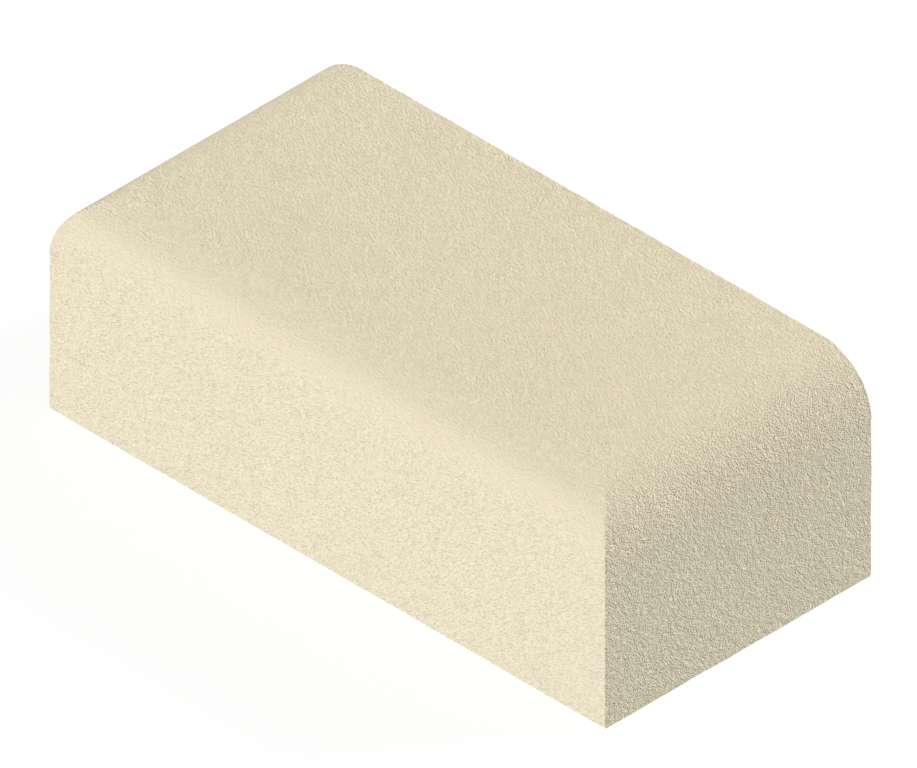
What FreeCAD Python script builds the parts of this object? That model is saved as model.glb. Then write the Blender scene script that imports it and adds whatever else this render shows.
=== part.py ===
"""Bullnose brick for the end or cap of a wall: one solid piece of fired clay.

The brick lies on its bed. Both header ends and the front stretcher side meet the flat top in a
quarter round, the bullnose. The back stretcher side keeps a square edge, because it goes against
the next brick. Where the front bullnose meets an end bullnose, the two quarter rounds run into
each other in a mitre: a crease that starts on the upright corner and fades out on the flat top.

Frame: millimetres, +Z up, origin at the centre of the bed face. X runs along the length, and the
rounded stretcher side faces -Y.
"""

import FreeCAD
import Part

import os

# Driving dimensions
LENGTH = 230.0  # header end to header end
WIDTH = 110.0  # rounded front side to square back side
HEIGHT = 76.0  # bed to flat top
NOSE_RADIUS = 20.0  # quarter round on the front and on both ends, the same on all three

# Directions of the brick as it lies
ALONG = FreeCAD.Vector(1, 0, 0)
ACROSS = FreeCAD.Vector(0, 1, 0)
UP = FreeCAD.Vector(0, 0, 1)

PARTS_FOLDER = "parts"
BRICK_NODE = "bullnose_brick"


def quarter_round(centre, from_side, to_side):
    """Quarter circle of the nose radius about a centre, between its points on two square sides."""
    halfway = (from_side + to_side).normalize()
    points = [centre + side * NOSE_RADIUS for side in (from_side, halfway, to_side)]
    return Part.Arc(*points).toShape()


def stretcher_section():
    """Face across the brick: square at the back, with one quarter round at the top of the front."""
    front = -WIDTH / 2
    back = WIDTH / 2
    spring = HEIGHT - NOSE_RADIUS

    def point(across, up):
        return ALONG * (-LENGTH / 2) + ACROSS * across + UP * up

    edges = [
        Part.makeLine(point(front, 0), point(front, spring)),
        quarter_round(point(front + NOSE_RADIUS, spring), -ACROSS, UP),
        Part.makeLine(point(front + NOSE_RADIUS, HEIGHT), point(back, HEIGHT)),
        Part.makeLine(point(back, HEIGHT), point(back, 0)),
        Part.makeLine(point(back, 0), point(front, 0)),
    ]
    return Part.Face(Part.Wire(edges))


def header_section():
    """Face along the brick, with a quarter round at the top of each end."""
    left = -LENGTH / 2
    right = LENGTH / 2
    spring = HEIGHT - NOSE_RADIUS

    def point(along, up):
        return ALONG * along + ACROSS * (-WIDTH / 2) + UP * up

    edges = [
        Part.makeLine(point(left, 0), point(left, spring)),
        quarter_round(point(left + NOSE_RADIUS, spring), -ALONG, UP),
        Part.makeLine(point(left + NOSE_RADIUS, HEIGHT), point(right - NOSE_RADIUS, HEIGHT)),
        quarter_round(point(right - NOSE_RADIUS, spring), UP, ALONG),
        Part.makeLine(point(right, spring), point(right, 0)),
        Part.makeLine(point(right, 0), point(left, 0)),
    ]
    return Part.Face(Part.Wire(edges))


def bullnose_brick():
    """The brick: what the run of the stretcher section and the run of the header section share.

    Their quarter rounds have one radius, so they cut each other in a plane at 45 degrees through
    the upright corner, which leaves the mitred return of the bullnose.
    """
    stretcher_run = stretcher_section().extrude(ALONG * LENGTH)
    header_run = header_section().extrude(ACROSS * WIDTH)
    return stretcher_run.common(header_run).removeSplitter().Solids[0]


def save(node, solid):
    """Write one solid to the parts folder under its node's name."""
    os.makedirs(PARTS_FOLDER, exist_ok=True)
    solid.exportStep(os.path.join(PARTS_FOLDER, node + ".step"))


brick = bullnose_brick()
save(BRICK_NODE, brick)
print(f"{BRICK_NODE}: valid {brick.isValid()}, {brick.Volume / 1e6:.4f} litres, {len(brick.Faces)} faces")
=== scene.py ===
"""Bullnose brick as it looks: cream fired clay, lying on a white floor in soft even light.

The CAD solid gives the brick its size. One closed skin is worked out over it, with the quarter
rounds, the mitres between them, slightly eased arrises and the faint swell that drying and firing
leave. The sandy grain of the clay is in its finish. X runs along the brick, +Y is its square back
and +Z is up, as in the CAD model. Lengths are in metres, apart from names that end in _mm.
"""

import logging
import math
from dataclasses import dataclass
from enum import Enum

import bpy
import numpy as np
from mathutils import Matrix, Vector


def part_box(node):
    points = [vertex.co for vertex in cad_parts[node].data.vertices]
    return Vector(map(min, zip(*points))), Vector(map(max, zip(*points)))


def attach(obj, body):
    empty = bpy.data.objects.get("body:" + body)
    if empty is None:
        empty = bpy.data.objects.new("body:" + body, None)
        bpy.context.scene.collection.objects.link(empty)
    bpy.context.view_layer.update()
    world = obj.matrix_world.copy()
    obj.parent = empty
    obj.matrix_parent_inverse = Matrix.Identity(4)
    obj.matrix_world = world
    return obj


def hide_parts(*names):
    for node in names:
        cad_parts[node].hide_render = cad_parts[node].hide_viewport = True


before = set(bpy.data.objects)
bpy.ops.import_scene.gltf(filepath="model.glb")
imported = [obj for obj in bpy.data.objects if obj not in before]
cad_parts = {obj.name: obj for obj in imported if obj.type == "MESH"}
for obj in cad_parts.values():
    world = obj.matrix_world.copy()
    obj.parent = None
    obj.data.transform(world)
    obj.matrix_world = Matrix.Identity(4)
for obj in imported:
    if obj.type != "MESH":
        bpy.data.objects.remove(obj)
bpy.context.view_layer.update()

BODY = "root"
CAD_NODE = "bullnose_brick"
GRAIN_ATTRIBUTE = "grain_strength"

MM_PER_METRE = 1000.0
WHITE = "#FFFFFF"

# Middle of a noise, and halfway between two colours
MIDDLE = 0.5

# Points of neighbouring grids that agree to a tenth of a micrometre are one point
PLACES_PER_METRE = 1e7

# Least values to divide by, so that nothing is divided by 0
SHORTEST_REACH = 1e-12
LEAST_SQUARED_SINE = 1e-9

log = logging.getLogger("bullnose_brick")


def millimetres(size: float) -> float:
    """Turns a size in millimetres to metres."""
    return size / MM_PER_METRE


def linear(hex_colour: str) -> tuple[float, float, float, float]:
    """Turns an sRGB hex colour to the linear values that shaders take.

    The sRGB curve is a straight line near black and a power of 2.4 above it.

    Args:
        hex_colour: six hex digits after a hash mark.

    Returns:
        Linear red, green and blue, and an alpha of 1.
    """
    channels = [int(hex_colour[i:i + 2], 16) / 255.0 for i in (1, 3, 5)]
    toned = [c / 12.92 if c <= 0.04045 else ((c + 0.055) / 1.055) ** 2.4 for c in channels]
    return (*toned, 1.0)


def direction(azimuth: float, elevation: float) -> Vector:
    """Unit vector from the brick towards a place round it.

    Args:
        azimuth: degrees round from the front (-Y) towards the right end (+X).
        elevation: degrees above the floor.

    Returns:
        The vector, from the sines and cosines of the two angles.
    """
    around, above = math.radians(azimuth), math.radians(elevation)
    level = math.cos(above)
    return Vector((math.sin(around) * level, -math.cos(around) * level, math.sin(above)))


def cleared_nodes(owner: bpy.types.ID) -> bpy.types.NodeTree:
    """Turns on the nodes of a material or a world, and clears away those that it starts with.

    Args:
        owner: the material or world.

    Returns:
        Its empty node tree.
    """
    owner.use_nodes = True
    owner.node_tree.nodes.clear()
    return owner.node_tree


def add_node(
    tree: bpy.types.NodeTree, kind: str, inputs: dict | None = None, **settings: object
) -> bpy.types.Node:
    """Adds a node with its settings, and fills or links its inputs.

    Args:
        tree: the node tree of a material or of the world.
        kind: the node's type name.
        inputs: by socket name or number, a plain value, or the output socket that feeds it.
        **settings: the node's own properties.

    Returns:
        The new node.
    """
    node = tree.nodes.new(kind)
    for name, value in settings.items():
        setattr(node, name, value)
    for socket, value in (inputs or {}).items():
        if isinstance(value, bpy.types.NodeSocket):
            tree.links.new(value, node.inputs[socket])
        else:
            node.inputs[socket].default_value = value
    return node


def add_object(name: str, data: bpy.types.ID) -> bpy.types.Object:
    """Makes an object that holds the data, and puts it into the scene.

    Args:
        name: name of the object.
        data: its mesh, light or camera.

    Returns:
        The object, at the origin and unturned.
    """
    made = bpy.data.objects.new(name, data)
    bpy.context.scene.collection.objects.link(made)
    return made


def triangle_mesh(name: str, points: np.ndarray, faces: np.ndarray) -> bpy.types.Mesh:
    """Makes a mesh with smooth shading from whole arrays.

    Args:
        name: name of the mesh.
        points: one row of x, y and z for each point.
        faces: three point numbers for each triangle.

    Returns:
        The mesh.
    """
    mesh = bpy.data.meshes.new(name)
    mesh.vertices.add(len(points))
    mesh.vertices.foreach_set("co", points.astype(np.float32).ravel())
    mesh.loops.add(faces.size)
    mesh.loops.foreach_set("vertex_index", faces.astype(np.int32).ravel())
    mesh.polygons.add(len(faces))
    mesh.polygons.foreach_set("loop_start", np.arange(0, faces.size, 3, dtype=np.int32))
    mesh.update(calc_edges=True)
    mesh.validate()
    mesh.shade_smooth()
    return mesh


def rounded_corner(
    side: np.ndarray, top: np.ndarray, radius: float | np.ndarray
) -> tuple[np.ndarray, np.ndarray]:
    """Distance outside a section's corner, where an upright face turns into the top in a round.

    Within the round it is the distance from the round's centre less the radius. Elsewhere it is
    the larger of the distances outside the two faces.

    Args:
        side: distance outside the upright face, negative inside.
        top: distance outside the flat top, negative inside.
        radius: radius of the quarter round.

    Returns:
        The distance, and the upward part of the unit vector in which it grows.
    """
    out, up = side + radius, top + radius
    reach = np.hypot(out, up)
    in_round = (out > 0) & (up > 0)
    distance = np.where(in_round, reach - radius, np.maximum(side, top))
    rising = np.where(in_round, up / np.maximum(reach, SHORTEST_REACH), top > side)
    return distance, rising


def eased_meeting(
    first: np.ndarray, second: np.ndarray, cosine: np.ndarray, radius: np.ndarray
) -> np.ndarray:
    """Distance outside two faces that meet in an arris, which is eased to a small radius.

    A line at the radius inside both faces is the centre of the eased arris. A point's distance
    from it follows from its distances to the faces and the angle between them, as in a triangle.

    Args:
        first: distance outside the first face.
        second: distance outside the second face.
        cosine: cosine of the angle between the directions that the faces look in.
        radius: radius of the eased arris.

    Returns:
        The distance outside the body that both faces bound.
    """
    a, b = first + radius, second + radius
    on_arris = (a > cosine * b) & (b > cosine * a) & (np.maximum(a, b) > 0)
    squared_sine = np.maximum(1 - cosine * cosine, LEAST_SQUARED_SINE)
    square = (a * a + b * b - 2 * cosine * a * b) / squared_sine
    return np.where(on_arris, np.sqrt(np.maximum(square, 0)) - radius, np.maximum(first, second))


@dataclass(frozen=True)
class Swell:
    """A gentle random unevenness: plane waves of one length, in random directions, added up.

    Attributes:
        wavelength_mm: crest to crest.
        height_mm: the unevenness, as a standard deviation.
        seed: start of the random directions and phases.
        waves: how many waves are added.
    """

    wavelength_mm: float
    height_mm: float
    seed: int
    waves: int = 48

    def at(self, points: np.ndarray) -> np.ndarray:
        """Height of the unevenness at each point, in metres.

        Each wave is the cosine of a phase plus the point's distance along a random direction, as
        a turn for each wavelength. The sum is divided by the root of half their number.

        Args:
            points: one row of x, y and z for each point.

        Returns:
            One height for each point.
        """
        random = np.random.default_rng(self.seed)
        ways = random.normal(size=(self.waves, 3))
        ways /= np.linalg.norm(ways, axis=1, keepdims=True)
        phases = random.uniform(0, 2 * math.pi, self.waves)
        turns = points @ ways.T * (2 * math.pi / millimetres(self.wavelength_mm))
        total = np.cos(turns + phases).sum(axis=1)
        return total * millimetres(self.height_mm) / math.sqrt(self.waves / 2)


@dataclass(frozen=True)
class SandyFiredClay:
    """Buff fire clay, pressed, sanded and fired without a glaze.

    To the eye it is dry and chalky, an even cream. It has a fine sandy grain, pulled slightly into
    streaks, whose tops are a little paler and smoother than its dips: the paler tops and darker
    dips are partly the sand's own colour and partly painted light and shade of the grain. There is
    only a breath of warmer clay over wide patches.

    Attributes:
        crest: colour of the tops of the grain, partly painted light on them.
        hollow: colour of the dips between, partly painted shade in them.
        warm: colour of the slightly warmer patches.
        fine_mm: size of the grain. Real sand is finer, and is drawn as coarse as it needs to show.
        fine_depth_mm: height from its dips to its tops, where its strength is 1.
        coarse_mm: size of the lumps that the cut left on the ends.
        coarse_depth_mm: their height.
        drag: how much longer the grain is along its streaks than across them.
        turn: turn, in radians, that brings the brick's X to the way of the streaks, which is
            along the brick and a little up and forward. It also keeps the noise from lining up
            with a face.
        contrast: how fast the colour turns from hollow to crest with the height of the sand.
        patch_mm: size of the warmer patches.
        patch_detail: how many finer noises are laid over them.
        warm_from: value of the patches' noise at which the clay starts to be warmer.
        warm_full: value at which it is warmest.
        most_warm: share of the warm colour there.
        hollow_roughness: roughness of the dips, dull as bare fired clay is.
        crest_roughness: roughness of the tops, which handling has rubbed slightly smoother.
        ior: that of a silicate body.
    """

    crest: str = "#F3E8CB"
    hollow: str = "#E7DCC1"
    warm: str = "#ECDFC0"
    fine_mm: float = 0.47
    fine_depth_mm: float = 0.65
    coarse_mm: float = 1.6
    coarse_depth_mm: float = 1.0
    drag: float = 2.6
    turn: tuple[float, float, float] = (0.6, -0.25, -0.21)
    contrast: float = 2.5
    patch_mm: float = 28.0
    patch_detail: float = 1.0
    warm_from: float = 0.45
    warm_full: float = 0.8
    most_warm: float = 0.35
    hollow_roughness: float = 0.9
    crest_roughness: float = 0.8
    ior: float = 1.5

    def centred_noise(
        self,
        tree: bpy.types.NodeTree,
        place: bpy.types.NodeSocket,
        size_mm: float,
        strength: bpy.types.NodeSocket,
    ) -> bpy.types.NodeSocket:
        """Adds a smooth noise that swings about 0, multiplied by its strength at each place.

        Args:
            tree: the material's node tree.
            place: the coordinates that the noise follows.
            size_mm: size of its grains.
            strength: how strong it is at each place.

        Returns:
            The socket of the noise.
        """
        noise = add_node(
            tree, "ShaderNodeTexNoise",
            {"Vector": place, "Scale": 1 / millimetres(size_mm), "Detail": 0.0},
        ).outputs["Fac"]
        centred = add_node(
            tree, "ShaderNodeMath", {0: noise, 1: MIDDLE}, operation="SUBTRACT"
        ).outputs["Value"]
        return add_node(
            tree, "ShaderNodeMath", {0: centred, 1: strength}, operation="MULTIPLY"
        ).outputs["Value"]

    def relief(
        self, tree: bpy.types.NodeTree, sand: bpy.types.NodeSocket, lumps: bpy.types.NodeSocket
    ) -> bpy.types.NodeSocket:
        """Adds the bump of the sand and the lumps, whose heights are added up in metres.

        Args:
            tree: the material's node tree.
            sand: the noise of the sand.
            lumps: the noise of the lumps.

        Returns:
            The socket of the bumped normal.
        """
        lumps_height = add_node(
            tree, "ShaderNodeMath", {0: lumps, 1: millimetres(self.coarse_depth_mm)},
            operation="MULTIPLY",
        ).outputs["Value"]
        height = add_node(
            tree, "ShaderNodeMath",
            {0: sand, 1: millimetres(self.fine_depth_mm), 2: lumps_height},
            operation="MULTIPLY_ADD",
        ).outputs["Value"]
        return add_node(
            tree, "ShaderNodeBump", {"Height": height, "Distance": 1.0, "Strength": 1.0}
        ).outputs["Normal"]

    def colour(
        self, tree: bpy.types.NodeTree, place: bpy.types.NodeSocket,
        from_hollow: bpy.types.NodeSocket,
    ) -> bpy.types.NodeSocket:
        """Adds the clay's colour: from hollow to crest by the grain, which paints shade in the
        dips and light on the tops as well as the sand's colour, then warmer in the patches.

        Args:
            tree: the material's node tree.
            place: the brick's own coordinates.
            from_hollow: 0 in the dips of the grain to 1 on its tops.

        Returns:
            The socket of the colour.
        """
        # Darker dips and paler tops: partly sand colour, partly painted shade and light of the
        # grain.
        grain_colour_and_shade = add_node(
            tree, "ShaderNodeMix",
            {"Factor": from_hollow, "A": linear(self.hollow), "B": linear(self.crest)},
            data_type="RGBA",
        ).outputs["Result"]
        patches = add_node(
            tree, "ShaderNodeTexNoise",
            {
                "Vector": place,
                "Scale": 1 / millimetres(self.patch_mm),
                "Detail": self.patch_detail,
            },
        ).outputs["Fac"]
        warmth = add_node(
            tree, "ShaderNodeMapRange",
            {
                "Value": patches,
                "From Min": self.warm_from,
                "From Max": self.warm_full,
                "To Max": self.most_warm,
            },
        ).outputs["Result"]
        return add_node(
            tree, "ShaderNodeMix",
            {"Factor": warmth, "A": grain_colour_and_shade, "B": linear(self.warm)},
            data_type="RGBA",
        ).outputs["Result"]

    def make(self) -> bpy.types.Material:
        """Makes the material, with every pattern in the brick's own coordinates.

        Returns:
            The material.
        """
        material = bpy.data.materials.new("sandy_fired_clay")
        tree = cleared_nodes(material)
        place = add_node(tree, "ShaderNodeTexCoord").outputs["Object"]
        streaked = add_node(
            tree, "ShaderNodeMapping",
            {"Vector": place, "Rotation": self.turn, "Scale": (self.drag, 1.0, 1.0)},
            vector_type="TEXTURE",
        ).outputs["Vector"]
        strengths = add_node(
            tree, "ShaderNodeAttribute", attribute_name=GRAIN_ATTRIBUTE, attribute_type="GEOMETRY"
        ).outputs["Vector"]
        strength = add_node(tree, "ShaderNodeSeparateXYZ", {"Vector": strengths}).outputs
        sand = self.centred_noise(tree, streaked, self.fine_mm, strength["X"])
        lumps = self.centred_noise(tree, streaked, self.coarse_mm, strength["Y"])
        # Share from dip to top of the grain; through the colours it paints shade in the dips.
        from_hollow = add_node(
            tree, "ShaderNodeMath", {0: sand, 1: self.contrast, 2: MIDDLE},
            operation="MULTIPLY_ADD", use_clamp=True,
        ).outputs["Value"]
        roughness = add_node(
            tree, "ShaderNodeMapRange",
            {
                "Value": from_hollow,
                "To Min": self.hollow_roughness,
                "To Max": self.crest_roughness,
            },
        ).outputs["Result"]
        shader = add_node(
            tree, "ShaderNodeBsdfPrincipled",
            {
                "Base Color": self.colour(tree, place, from_hollow),
                "Roughness": roughness,
                "IOR": self.ior,
                "Normal": self.relief(tree, sand, lumps),
            },
        ).outputs["BSDF"]
        add_node(tree, "ShaderNodeOutputMaterial", {"Surface": shader})
        return material


class Side(Enum):
    """The six sides of the brick."""

    TOP = "top"
    FRONT = "front"
    RIGHT_END = "right end"
    BED = "bed"
    BACK = "back"
    LEFT_END = "left end"

    @property
    def turned(self) -> bool:
        """Whether the side's grid has to be turned to face outwards."""
        return self in (Side.BED, Side.BACK, Side.LEFT_END)


@dataclass(frozen=True)
class BrickSkin:
    """The brick's whole skin: flat bed, square back, bullnosed front and ends, mitred corners.

    Attributes:
        length: header end to header end.
        width: rounded front side to square back side.
        height: bed to flat top.
        nose_radius: quarter round on the front and on both ends.
        arris_radius: how far the sharp edges are eased.
        arris_wear: how that varies along them, because wear takes more off in some places.
        least_arris: least share of the arris radius that is left anywhere.
        arris_steps: how far in from a sharp edge the grid lines next to it are, in arris radii.
        spacing: distance between the lines of the skin's grids.
        rounds: how often the points are drawn onto the eased shape, each time closer.
        bed_margin: height over which the faint unevenness grows from the flat bed.
        swells: the unevenness that drying and firing leave.
        end_grain: strength of the fine grain on the ends, against 1 on the front and the back.
        top_grain: its strength on the flat top and the bed.
        front_nose_grain: share of its strength that is left halfway round the front nose.
        end_nose_grain: share of its strength that is left halfway round the nose of an end.
        finish: the clay that the skin is made of.
    """

    length: float
    width: float
    height: float
    nose_radius: float = millimetres(20.0)
    arris_radius: float = millimetres(0.4)
    arris_wear: Swell = Swell(wavelength_mm=18.0, height_mm=0.1, seed=3)
    least_arris: float = 0.4
    arris_steps: tuple[float, ...] = (0.0, 0.25, 0.6, 1.1, 1.9)
    spacing: float = millimetres(1.25)
    rounds: int = 6
    bed_margin: float = millimetres(3.0)
    swells: tuple[Swell, ...] = (
        Swell(wavelength_mm=70.0, height_mm=0.05, seed=11),
        Swell(wavelength_mm=16.0, height_mm=0.02, seed=12),
        Swell(wavelength_mm=5.0, height_mm=0.008, seed=13),
    )
    end_grain: float = 1.8
    top_grain: float = 1.7
    front_nose_grain: float = 0.32
    end_nose_grain: float = 0.95
    finish: SandyFiredClay = SandyFiredClay()

    @classmethod
    def over_solid(cls) -> "BrickSkin":
        """Takes the length, width and height of the CAD solid's box."""
        low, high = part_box(CAD_NODE)
        return cls(*(high - low))

    def rise(self, inward: np.ndarray) -> np.ndarray:
        """Height of a bullnose at a distance in: the quarter circle, then the flat top."""
        reach = np.clip(self.nose_radius - inward, 0, self.nose_radius)
        return self.height - self.nose_radius + np.sqrt(self.nose_radius**2 - reach**2)

    def nose_lines(self) -> np.ndarray:
        """Distances in from a rounded side, at even angles round its nose."""
        steps = math.ceil(self.nose_radius * math.pi / 2 / self.spacing)
        return self.nose_radius * (1 - np.cos(np.linspace(0, math.pi / 2, steps + 1)))

    def flat_lines(self, start: float, end: float) -> np.ndarray:
        """Even positions from start to end, about the grid's spacing apart."""
        return np.linspace(start, end, math.ceil((end - start) / self.spacing) + 1)

    def arris_lines(self) -> np.ndarray:
        """Distances in from a sharp edge, close enough together to ease it."""
        return self.arris_radius * np.array(self.arris_steps)

    def lines_along(self) -> np.ndarray:
        """Positions of the grid lines along the brick.

        Returns:
            Places along X, from the left end to the right end.
        """
        nose = self.nose_lines()
        flat_end = self.length / 2 - self.nose_radius
        flat = self.flat_lines(-flat_end, flat_end)
        return np.concatenate([nose[:-1] - self.length / 2, flat, self.length / 2 - nose[-2::-1]])

    def lines_across(self) -> np.ndarray:
        """Positions of the grid lines across the brick.

        Returns:
            Places along Y, from the rounded front to the square back.
        """
        nose, arris = self.nose_lines(), self.arris_lines()
        flat = self.flat_lines(self.nose_radius - self.width / 2, self.width / 2 - arris[-1])
        return np.concatenate([nose[:-1] - self.width / 2, flat, self.width / 2 - arris[-2::-1]])

    def lines_up(self) -> np.ndarray:
        """Heights of the grid lines on an upright side.

        Returns:
            Shares of the side's height, from 0 at the bed to 1 at its top.
        """
        arris = self.arris_lines() / self.height
        steps = math.ceil(self.height / self.spacing)
        middle = np.linspace(arris[-1], 1 - arris[-1], steps - 1)
        return np.concatenate([arris[:-1], middle, 1 - arris[-2::-1]])

    def sharp_side(self, side: Side) -> np.ndarray:
        """One side of the brick with sharp edges, as a grid of points.

        The top is the lower of the end noses' height and the front nose's height over each place,
        so that the two meet in the mitre. The back ends at the top in the end noses' outline, and
        the front and the ends stop at the spring of their noses.

        Args:
            side: which side.

        Returns:
            Points by two grid numbers, with x, y and z last.
        """
        along, across, up = self.lines_along(), self.lines_across(), self.lines_up()
        half_length, half_width = self.length / 2, self.width / 2
        spring = self.height - self.nose_radius
        if side in (Side.TOP, Side.BED):
            x, y = np.meshgrid(along, across, indexing="ij")
            over_ends, over_front = self.rise(half_length - abs(x)), self.rise(half_width + y)
            z = np.minimum(over_ends, over_front) if side is Side.TOP else np.zeros_like(x)
        elif side in (Side.FRONT, Side.BACK):
            x, share = np.meshgrid(along, up, indexing="ij")
            y = np.full_like(x, half_width if side is Side.BACK else -half_width)
            z = share * (self.rise(half_length - abs(x)) if side is Side.BACK else spring)
        else:
            y, share = np.meshgrid(across, up, indexing="ij")
            x = np.full_like(y, half_length if side is Side.RIGHT_END else -half_length)
            z = share * spring
        return np.stack([x, y, z], axis=-1)

    def side_triangles(self, side: Side, points: np.ndarray) -> np.ndarray:
        """Triangles of one side's grid.

        Each cell is cut along the diagonal that runs inwards from the nearer end, because that is
        how the mitres run.

        Args:
            side: which side.
            points: its grid of points.

        Returns:
            Three point numbers for each triangle, in the order that faces outwards.
        """
        number = np.arange(points.shape[0] * points.shape[1]).reshape(points.shape[:2])
        a, b, c, d = number[:-1, :-1], number[1:, :-1], number[1:, 1:], number[:-1, 1:]
        on_right = (points[1:, :-1, 0] + points[:-1, :-1, 0])[..., None] > 0
        cut_forward = np.stack([a, b, c, a, c, d], axis=-1)
        cut_back = np.stack([a, b, d, b, c, d], axis=-1)
        triangles = np.where(on_right, cut_back, cut_forward).reshape(-1, 3)
        return triangles[:, ::-1] if side.turned else triangles

    def sharp_skin(self) -> tuple[np.ndarray, np.ndarray]:
        """The six sides with sharp edges, joined where they meet.

        Returns:
            One row of x, y and z for each point, and three point numbers for each triangle.
        """
        grids, triangles, count = [], [], 0
        for side in Side:
            grid = self.sharp_side(side)
            triangles.append(self.side_triangles(side, grid) + count)
            grids.append(grid.reshape(-1, 3))
            count += len(grids[-1])
        points = np.concatenate(grids)
        same_place = np.round(points * PLACES_PER_METRE).astype(np.int64)
        _, kept, joined = np.unique(same_place, axis=0, return_index=True, return_inverse=True)
        return points[kept], joined.reshape(-1)[np.concatenate(triangles)]

    def arris_radii(self, points: np.ndarray) -> np.ndarray:
        """Radius to which an arris is eased near each point."""
        worn = self.arris_radius + self.arris_wear.at(points)
        return np.maximum(worn, self.least_arris * self.arris_radius)

    def outside(self, points: np.ndarray, arris: np.ndarray) -> np.ndarray:
        """Distance of each point outside the brick with eased arrises.

        The header section bounds the ends and the stretcher section the front and back. Both
        bound the top, and the bed bounds them from below.

        Args:
            points: one row of x, y and z for each point.
            arris: the radius of an arris near each point.

        Returns:
            One distance for each point, negative inside the brick.
        """
        x, y, z = points.T
        top = z - self.height
        ends, ends_rise = rounded_corner(abs(x) - self.length / 2, top, self.nose_radius)
        front, front_rise = rounded_corner(-y - self.width / 2, top, self.nose_radius)
        back, back_rise = rounded_corner(y - self.width / 2, top, arris)
        stretchers = np.where(y < 0, front, back)
        cosine = ends_rise * np.where(y < 0, front_rise, back_rise)
        walls = eased_meeting(ends, stretchers, cosine, arris)
        return eased_meeting(walls, -z, np.zeros_like(z), arris)

    def facing(self, points: np.ndarray, arris: np.ndarray) -> np.ndarray:
        """Unit vector out of the brick at each point: how its distance outside grows.

        The growth along each axis is measured from a micrometre before the point to one beyond.

        Args:
            points: one row of x, y and z for each point.
            arris: the radius of an arris near each point.

        Returns:
            One row of x, y and z for each point.
        """
        step = 1e-6
        slopes = [
            self.outside(points + step * axis, arris) - self.outside(points - step * axis, arris)
            for axis in np.eye(3)
        ]
        grown = np.stack(slopes, axis=1)
        return grown / np.linalg.norm(grown, axis=1, keepdims=True)

    def swollen(self, points: np.ndarray, facing: np.ndarray) -> np.ndarray:
        """Moves the points in or out by the faint unevenness that drying and firing leave.

        The bed stays flat: the movement grows from nothing over the first millimetres of height.

        Args:
            points: one row of x, y and z for each point.
            facing: the unit vector out of the brick at each point.

        Returns:
            The moved points.
        """
        height = sum(swell.at(points) for swell in self.swells)
        off_bed = np.clip(points[:, 2] / self.bed_margin, 0, 1)
        return points + facing * (height * off_bed)[:, None]

    def grain_strengths(self, facing: np.ndarray) -> np.ndarray:
        """How strong the fine and the coarse grain of the clay are at each point.

        The squares of a unit vector's parts add up to 1, so they are the shares with which a
        place belongs to the ends, the long sides and the flat faces. Four times the product of
        two shares is 1 halfway round the nose between the two and 0 beyond it, and says how far
        the nose is rubbed smoother there. The coarse grain is on the ends alone.

        Args:
            facing: the unit vector out of the brick at each point.

        Returns:
            The fine strength, the coarse strength and 0 for each point.
        """
        ends, sides, flats = (facing**2).T
        on_front_nose = np.where((facing[:, 1] < 0) & (facing[:, 2] > 0), 4 * sides * flats, 0)
        on_end_nose = 4 * ends * flats
        fine = self.end_grain * ends + sides + self.top_grain * flats
        fine *= 1 - (1 - self.front_nose_grain) * on_front_nose
        fine *= 1 - (1 - self.end_nose_grain) * on_end_nose
        return np.stack([fine, ends, np.zeros_like(fine)], axis=1)

    def dress(self, brick: bpy.types.Object) -> None:
        """Gives the skin its clay and the CAD solid's body, and hides the CAD solid.

        Args:
            brick: the skin's object.
        """
        brick.data.materials.append(self.finish.make())
        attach(brick, BODY)
        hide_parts(CAD_NODE)

    def build(self) -> bpy.types.Object:
        """Builds the brick: the joined grids, drawn onto the eased shape, swollen and dressed.

        Each round moves every point by its distance outside the eased shape, against the
        direction out of it, so that a point inside moves outwards.

        Returns:
            The finished object, with the strengths of its grain as an attribute.
        """
        points, faces = self.sharp_skin()
        arris = self.arris_radii(points)
        for _ in range(self.rounds):
            points = points - self.facing(points, arris) * self.outside(points, arris)[:, None]
        facing = self.facing(points, arris)
        mesh = triangle_mesh("brick", self.swollen(points, facing), faces)
        grain = mesh.attributes.new(GRAIN_ATTRIBUTE, "FLOAT_VECTOR", "POINT")
        grain.data.foreach_set("vector", self.grain_strengths(facing).astype(np.float32).ravel())
        brick = add_object("brick", mesh)
        self.dress(brick)
        return brick


@dataclass(frozen=True)
class Lamp:
    """A far, wide lamp, so that it lights the whole brick and the floor evenly.

    Attributes:
        name: what it is.
        azimuth: degrees round from the front towards the right end.
        elevation: degrees above the floor.
        level: brightness that it gives a white surface that faces it.
        width: how wide it looks from the brick, in degrees.
        colour: its sRGB tint.
    """

    name: str
    azimuth: float
    elevation: float
    level: float
    width: float
    colour: str = WHITE

    def on_floor(self) -> float:
        """Brightness that it gives a white floor."""
        return self.level * math.sin(math.radians(self.elevation))

    def build(self) -> bpy.types.Object:
        """Makes the lamp, which shines from its place towards the brick.

        The strength of a sun lamp is pi times the brightness that it gives a white surface.

        Returns:
            The lamp.
        """
        light = bpy.data.lights.new(self.name, "SUN")
        light.energy = self.level * math.pi
        light.angle = math.radians(self.width)
        light.color = linear(self.colour)[:3]
        lamp = add_object(self.name, light)
        towards = direction(self.azimuth, self.elevation)
        lamp.rotation_mode = "QUATERNION"
        lamp.rotation_quaternion = towards.to_track_quat("Z", "Y")
        lamp.location = towards
        log.info("%s: level %g from %g, %g", self.name, self.level, self.azimuth, self.elevation)
        return lamp


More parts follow.
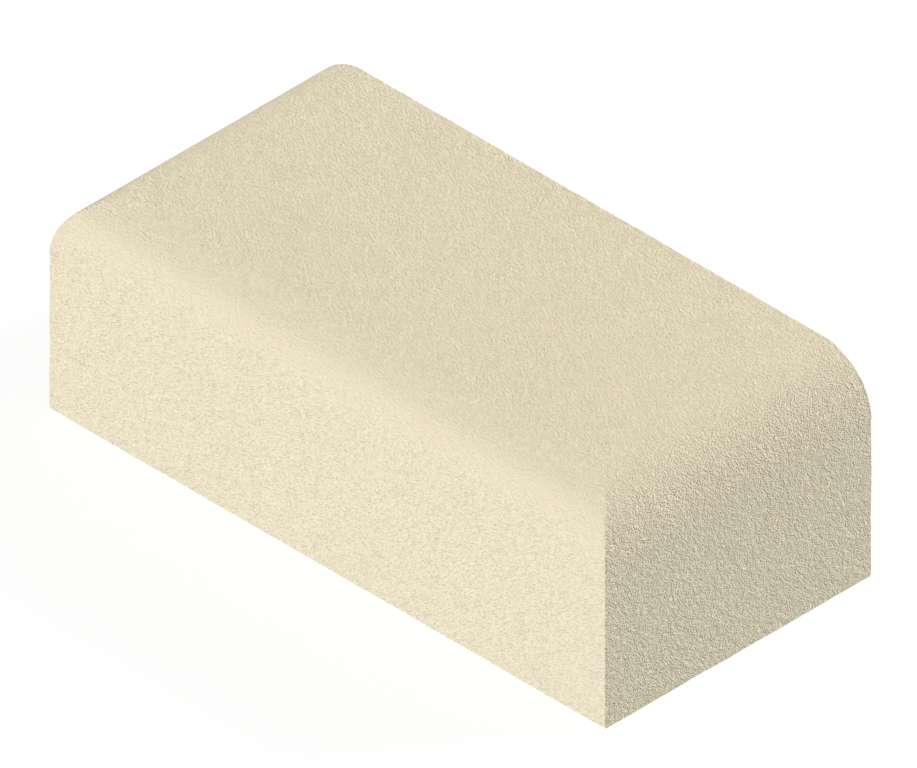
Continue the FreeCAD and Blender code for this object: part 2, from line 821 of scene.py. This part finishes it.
@dataclass(frozen=True)
class Studio:
    """White floor and surroundings, two wide lamps and a soft glow from all sides.

    Attributes:
        lamps: the key in front, a little to the left, and a lamp behind that rakes the near end.
        glow: brightness of the surroundings, as the brick receives it.
        floor_tone: share of its light that the floor gives back to the brick, alike everywhere,
            so that the brick's own shadow leaves no gradient on its sides.
        floor_tint: the slightly cool tint of that light.
        shadow_tone: share of the floor's seen white that its shadows can take away.
        spare_light: how much light may be missing on the floor before its seen white darkens.
        floor_size: side of the floor.
    """

    lamps: tuple[Lamp, ...] = (
        Lamp("key_lamp", azimuth=-16.0, elevation=15.0, level=0.56, width=16.0, colour="#FFFDF9"),
        Lamp(
            "back_lamp", azimuth=150.5, elevation=31.0, level=0.725, width=16.0, colour="#FFFCF6"
        ),
    )
    glow: float = 0.465
    floor_tone: float = 0.72
    floor_tint: str = "#F6FAFF"
    shadow_tone: float = 0.2
    spare_light: float = 0.25
    floor_size: float = 40.0

    def seen_directly(self, tree: bpy.types.NodeTree) -> bpy.types.NodeSocket:
        """Adds nodes that tell what the camera sees from what lights the brick.

        Args:
            tree: the node tree of the floor's material or of the world.

        Returns:
            The socket of 1 for what the camera sees, also in gloss or glass, and else 0.
        """
        path = add_node(tree, "ShaderNodeLightPath").outputs
        glossy = add_node(
            tree, "ShaderNodeMath",
            {0: path["Is Camera Ray"], 1: path["Is Glossy Ray"]},
            operation="MAXIMUM",
        ).outputs["Value"]
        return add_node(
            tree, "ShaderNodeMath", {0: glossy, 1: path["Is Transmission Ray"]},
            operation="MAXIMUM",
        ).outputs["Value"]

    def floor_material(self) -> bpy.types.Material:
        """Makes the floor's white, seen as pure white apart from the brick's faint shadow.

        What the camera sees is a glow of its own plus a weak diffuse part. Together they come to
        1 where the spare light is missing, and to more, which is white too, where nothing shades
        it. The brick receives the light that the floor gives back instead.

        Returns:
            The material.
        """
        white_light = sum(lamp.on_floor() for lamp in self.lamps) + self.glow
        least_white = self.shadow_tone * (white_light - self.spare_light)
        grey = (self.shadow_tone, self.shadow_tone, self.shadow_tone, 1.0)
        material = bpy.data.materials.new("white_floor")
        tree = cleared_nodes(material)
        own_glow = add_node(
            tree, "ShaderNodeEmission", {"Strength": 1.0 - least_white}
        ).outputs["Emission"]
        shaded = add_node(tree, "ShaderNodeBsdfDiffuse", {"Color": grey}).outputs["BSDF"]
        seen = add_node(tree, "ShaderNodeAddShader", {0: own_glow, 1: shaded}).outputs["Shader"]
        given_back = add_node(
            tree, "ShaderNodeEmission",
            {"Color": linear(self.floor_tint), "Strength": self.floor_tone * white_light},
        ).outputs["Emission"]
        surface = add_node(
            tree, "ShaderNodeMixShader", {0: self.seen_directly(tree), 1: given_back, 2: seen}
        ).outputs["Shader"]
        add_node(tree, "ShaderNodeOutputMaterial", {"Surface": surface})
        return material

    def build_floor(self) -> bpy.types.Object:
        """Makes the flat floor under the brick's bed.

        Returns:
            The floor.
        """
        reach = self.floor_size / 2
        corners = [(-reach, -reach, 0), (reach, -reach, 0), (reach, reach, 0), (-reach, reach, 0)]
        mesh = bpy.data.meshes.new("floor")
        mesh.from_pydata(corners, [], [(0, 1, 2, 3)])
        mesh.materials.append(self.floor_material())
        floor = add_object("floor", mesh)
        return floor

    def build_surroundings(self) -> bpy.types.World:
        """Makes the world: white where it is seen, and an even glow where it lights the brick.

        Returns:
            The world.
        """
        world = bpy.data.worlds.new("white_surroundings")
        tree = cleared_nodes(world)
        lighting = add_node(
            tree, "ShaderNodeBackground", {"Color": linear(WHITE), "Strength": self.glow}
        ).outputs["Background"]
        seen = add_node(
            tree, "ShaderNodeBackground", {"Color": linear(WHITE), "Strength": 1.0}
        ).outputs["Background"]
        surface = add_node(
            tree, "ShaderNodeMixShader", {0: self.seen_directly(tree), 1: lighting, 2: seen}
        ).outputs["Shader"]
        add_node(tree, "ShaderNodeOutputWorld", {"Surface": surface})
        bpy.context.scene.world = world
        return world

    def build(self) -> None:
        """Builds the floor, the surroundings and the lamps."""
        self.build_floor()
        self.build_surroundings()
        for lamp in self.lamps:
            lamp.build()


@dataclass(frozen=True)
class IsometricCamera:
    """The photograph's camera: an isometric view from the front, right and above.

    Attributes:
        azimuth: degrees round from the front towards the right end.
        image_width_px: width of the picture.
        image_height_px: height of the picture.
        edge_px_per_mm: how long the brick's straight edges are drawn, all three ways alike.
        bed_centre_px: where the centre of the brick's bed falls, from the picture's top left.
        distance: how far away the camera stands, which changes nothing in such a view.
    """

    azimuth: float = 45.0
    image_width_px: float = 917.0
    image_height_px: float = 768.0
    edge_px_per_mm: float = 2.7943
    bed_centre_px: tuple[float, float] = (460.38, 491.90)
    distance: float = 1.5

    def build(self) -> bpy.types.Object:
        """Makes the camera and gives it to the scene.

        In an isometric view the line of sight makes equal angles with all three axes, so its
        slope down is the arc tangent of 1 over the root of 2, and each axis is shortened by the
        root of two thirds.

        Returns:
            The camera.
        """
        elevation = math.degrees(math.atan(1 / math.sqrt(2)))
        shortening = math.sqrt(2 / 3)
        px_per_metre = self.edge_px_per_mm * MM_PER_METRE / shortening
        back = direction(self.azimuth, elevation)
        turn = back.to_track_quat("Z", "Y")
        right, up = turn @ Vector((1, 0, 0)), turn @ Vector((0, 1, 0))
        right_px = self.image_width_px / 2 - self.bed_centre_px[0]
        up_px = self.bed_centre_px[1] - self.image_height_px / 2
        centre = (right * right_px + up * up_px) / px_per_metre

        data = bpy.data.cameras.new("camera")
        data.type = "ORTHO"
        data.ortho_scale = self.image_width_px / px_per_metre
        camera = add_object("camera", data)
        place = Matrix.Translation(centre + back * self.distance)
        camera.matrix_world = place @ turn.to_matrix().to_4x4()
        bpy.context.scene.camera = camera
        return camera


def main() -> None:
    """Builds the camera, the studio and the brick."""
    logging.basicConfig(level=logging.INFO, format="%(message)s")
    bpy.context.scene.view_settings.view_transform = "Standard"
    IsometricCamera().build()
    Studio().build()
    brick = BrickSkin.over_solid().build()
    sides_mm = [MM_PER_METRE * side for side in brick.dimensions]
    log.info("brick: %d triangles, %.1f x %.1f x %.1f mm", len(brick.data.polygons), *sides_mm)


if __name__ == "__main__":
    main()
